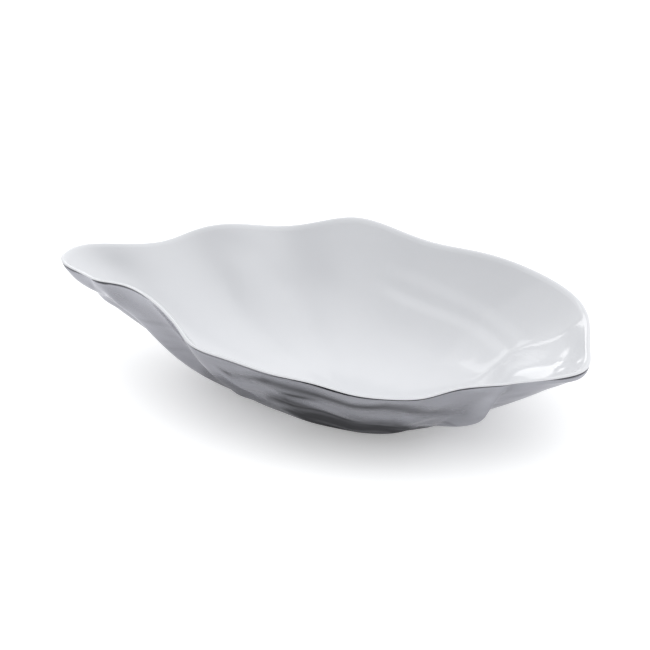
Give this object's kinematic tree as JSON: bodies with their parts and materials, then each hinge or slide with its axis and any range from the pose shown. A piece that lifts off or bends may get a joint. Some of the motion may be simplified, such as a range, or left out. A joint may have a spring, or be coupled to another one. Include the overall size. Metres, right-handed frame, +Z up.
{
  "type": "oyster bowl",
  "caption": "Long serving bowl in the form of an oyster shell, with a wavy lip, a narrow beak and a flat foot: bare cast metal outside, glossy white enamel lining inside.",
  "frame": {"origin": "centre of the flat oval foot, on the table", "axes": "+X along the bowl from the beak towards the broad end, +Y towards the back of the lip, +Z up"},
  "size_m": [0.3812, 0.2182, 0.0808],
  "materials": {
    "cast_metal": "polished cast surface with soft growth ripples",
    "white_enamel": "gloss"
  },
  "bodies": {
    "root": {"cast_shell": "cast_metal", "enamel_lining": "white_enamel"}
  },
  "joints": []
}
